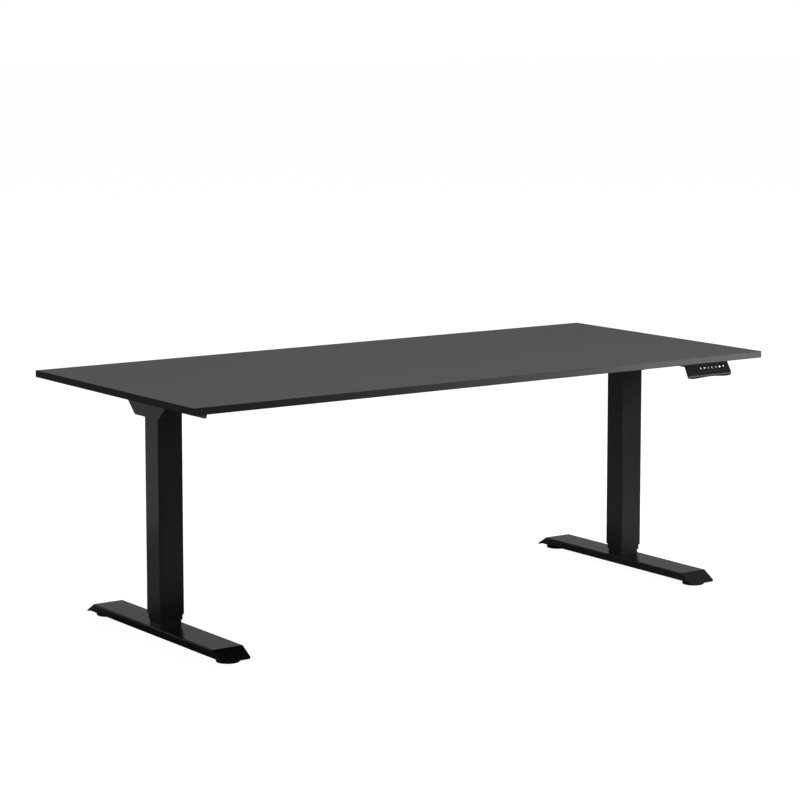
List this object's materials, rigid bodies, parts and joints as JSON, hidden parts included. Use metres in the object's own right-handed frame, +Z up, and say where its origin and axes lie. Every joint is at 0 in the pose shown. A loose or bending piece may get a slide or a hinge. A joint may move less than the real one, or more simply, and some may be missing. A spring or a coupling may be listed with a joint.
{
  "type": "height adjustable standing desk",
  "caption": "Electric sit-stand desk: rectangular board on a two-column telescopic frame with sheet-metal feet, levelling pads and a keyed handset under the front edge.",
  "frame": {"origin": "on the floor, under the middle of the board, at the lowest height", "axes": "+X to the right along the board as seen by the person at the desk facing it, +Y to the back, +Z up; the handset and the user are at -Y"},
  "size_m": [1.8, 0.8133, 0.647],
  "materials": {
    "black_laminate": "matt melamine-faced board, fine pearl grain",
    "black_edge_band": "satin edge band",
    "black_powder_coat": "satin black powder coat",
    "zinc_plated_screws": "black zinc plate",
    "spindle_steel": "ground steel, greased",
    "nylon_glide": "moulded nylon",
    "nut_plastic": "moulded acetal",
    "bronze_wheel": "machined",
    "cast_housing": "die cast, shot blasted",
    "motor_can": "black lacquered steel can",
    "box_plastic": "fine spark-eroded texture",
    "circuit_board": "green solder resist",
    "lead_jacket": "matt PVC jacket",
    "handset_plastic": "fine texture with a satin lip",
    "handset_gloss": "semi-gloss overlay",
    "key_plastic": "satin cap with a white symbol",
    "pad_plastic": "moulded pad"
  },
  "bodies": {
    "base": {"left_foot": "black_powder_coat", "right_foot": "black_powder_coat", "left_inner_tube": "black_powder_coat", "right_inner_tube": "black_powder_coat", "foot_bolts": "zinc_plated_screws", "inner_tube_glides": "nylon_glide", "nut_tubes": "spindle_steel", "lower_nuts": "nut_plastic"},
    "top": {"board_screws": "zinc_plated_screws", "control_board": "circuit_board", "control_box_lid": "box_plastic", "control_box_shell": "box_plastic", "desktop_board": "black_laminate", "edge_bands": "black_edge_band", "frame_screws": "zinc_plated_screws", "front_rail": "black_powder_coat", "gear_housing_lids": "cast_housing", "handset_board": "circuit_board", "handset_face": "handset_gloss", "handset_housing": "handset_plastic", "handset_lead": "lead_jacket", "lead_clips": "box_plastic", "left_gear_housing": "cast_housing", "left_motor": "motor_can", "left_outer_tube": "black_powder_coat", "left_side_bracket": "black_powder_coat", "mains_inlet": "box_plastic", "motor_leads": "lead_jacket", "outer_tube_glides": "nylon_glide", "rear_rail": "black_powder_coat", "right_gear_housing": "cast_housing", "right_motor": "motor_can", "right_outer_tube": "black_powder_coat", "right_side_bracket": "black_powder_coat", "wheel_bearings": "spindle_steel"},
    "left_middle_stage": {"left_middle_tube": "black_powder_coat", "left_middle_glides": "nylon_glide", "left_spindle_nut_plate": "nut_plastic"},
    "left_lower_spindle": {"left_lower_spindle": "spindle_steel"},
    "left_upper_spindle": {"left_upper_spindle": "spindle_steel", "left_worm_wheel": "bronze_wheel"},
    "left_motor_shaft": {"left_motor_shaft": "spindle_steel"},
    "right_middle_stage": {"right_middle_tube": "black_powder_coat", "right_middle_glides": "nylon_glide", "right_spindle_nut_plate": "nut_plastic"},
    "right_lower_spindle": {"right_lower_spindle": "spindle_steel"},
    "right_upper_spindle": {"right_upper_spindle": "spindle_steel", "right_worm_wheel": "bronze_wheel"},
    "right_motor_shaft": {"right_motor_shaft": "spindle_steel"},
    "levelling_foot_front_left": {"levelling_foot_front_left": "pad_plastic"},
    "levelling_foot_front_right": {"levelling_foot_front_right": "pad_plastic"},
    "levelling_foot_rear_left": {"levelling_foot_rear_left": "pad_plastic"},
    "levelling_foot_rear_right": {"levelling_foot_rear_right": "pad_plastic"},
    "key_alarm": {"key_alarm": "key_plastic"},
    "key_down": {"key_down": "key_plastic"},
    "key_memory": {"key_memory": "key_plastic"},
    "key_one": {"key_one": "key_plastic"},
    "key_three": {"key_three": "key_plastic"},
    "key_two": {"key_two": "key_plastic"},
    "key_up": {"key_up": "key_plastic"}
  },
  "joints": [
    {"name": "desk_lift", "type": "slide", "parent": "base", "child": "top", "axis": [0, 0, 1], "range_m": [0, 0.65]},
    {"name": "left_middle_slide", "type": "slide", "parent": "base", "child": "left_middle_stage", "axis": [0, 0, 1], "range_m": [0, 0.325]},
    {"name": "left_lower_spindle_turn", "type": "hinge", "parent": "left_middle_stage", "child": "left_lower_spindle", "pos_m": [-0.751, 0, 0.525], "axis": [0, 0, 1], "range_deg": [0, 14626]},
    {"name": "left_upper_spindle_turn", "type": "hinge", "parent": "top", "child": "left_upper_spindle", "pos_m": [-0.751, 0, 0.597], "axis": [0, 0, 1], "range_deg": [0, 14626]},
    {"name": "left_motor_turn", "type": "hinge", "parent": "top", "child": "left_motor_shaft", "pos_m": [-0.751, 0.022, 0.597], "axis": [1, 0, 0], "range_deg": [0, 182813]},
    {"name": "right_middle_slide", "type": "slide", "parent": "base", "child": "right_middle_stage", "axis": [0, 0, 1], "range_m": [0, 0.325]},
    {"name": "right_lower_spindle_turn", "type": "hinge", "parent": "right_middle_stage", "child": "right_lower_spindle", "pos_m": [0.751, 0, 0.525], "axis": [0, 0, 1], "range_deg": [0, 14626]},
    {"name": "right_upper_spindle_turn", "type": "hinge", "parent": "top", "child": "right_upper_spindle", "pos_m": [0.751, 0, 0.597], "axis": [0, 0, 1], "range_deg": [0, 14626]},
    {"name": "right_motor_turn", "type": "hinge", "parent": "top", "child": "right_motor_shaft", "pos_m": [0.751, 0.022, 0.597], "axis": [1, 0, 0], "range_deg": [0, 182813]},
    {"name": "front_left_levelling", "type": "slide", "parent": "base", "child": "levelling_foot_front_left", "axis": [0, 0, -1], "range_m": [0, 0.008]},
    {"name": "front_right_levelling", "type": "slide", "parent": "base", "child": "levelling_foot_front_right", "axis": [0, 0, -1], "range_m": [0, 0.008]},
    {"name": "rear_left_levelling", "type": "slide", "parent": "base", "child": "levelling_foot_rear_left", "axis": [0, 0, -1], "range_m": [0, 0.008]},
    {"name": "rear_right_levelling", "type": "slide", "parent": "base", "child": "levelling_foot_rear_right", "axis": [0, 0, -1], "range_m": [0, 0.008]},
    {"name": "key_alarm_press", "type": "slide", "parent": "top", "child": "key_alarm", "axis": [0, 0.8958, -0.4444], "range_m": [0, 0.0006], "stiffness_N_per_m": 1500, "springref_m": -0.0004},
    {"name": "key_down_press", "type": "slide", "parent": "top", "child": "key_down", "axis": [0, 0.8958, -0.4444], "range_m": [0, 0.0006], "stiffness_N_per_m": 1500, "springref_m": -0.0004},
    {"name": "key_memory_press", "type": "slide", "parent": "top", "child": "key_memory", "axis": [0, 0.8958, -0.4444], "range_m": [0, 0.0006], "stiffness_N_per_m": 1500, "springref_m": -0.0004},
    {"name": "key_one_press", "type": "slide", "parent": "top", "child": "key_one", "axis": [0, 0.8958, -0.4444], "range_m": [0, 0.0006], "stiffness_N_per_m": 1500, "springref_m": -0.0004},
    {"name": "key_three_press", "type": "slide", "parent": "top", "child": "key_three", "axis": [0, 0.8958, -0.4444], "range_m": [0, 0.0006], "stiffness_N_per_m": 1500, "springref_m": -0.0004},
    {"name": "key_two_press", "type": "slide", "parent": "top", "child": "key_two", "axis": [0, 0.8958, -0.4444], "range_m": [0, 0.0006], "stiffness_N_per_m": 1500, "springref_m": -0.0004},
    {"name": "key_up_press", "type": "slide", "parent": "top", "child": "key_up", "axis": [0, 0.8958, -0.4444], "range_m": [0, 0.0006], "stiffness_N_per_m": 1500, "springref_m": -0.0004}
  ],
  "couplings": [
    {"joint": "left_middle_slide", "follows": "desk_lift", "ratio": 0.5},
    {"joint": "left_lower_spindle_turn", "follows": "desk_lift", "rad_per_m": 392.7},
    {"joint": "left_upper_spindle_turn", "follows": "desk_lift", "rad_per_m": 392.7},
    {"joint": "left_motor_turn", "follows": "desk_lift", "rad_per_m": 4908.7},
    {"joint": "right_middle_slide", "follows": "desk_lift", "ratio": 0.5},
    {"joint": "right_lower_spindle_turn", "follows": "desk_lift", "rad_per_m": 392.7},
    {"joint": "right_upper_spindle_turn", "follows": "desk_lift", "rad_per_m": 392.7},
    {"joint": "right_motor_turn", "follows": "desk_lift", "rad_per_m": 4908.7}
  ]
}
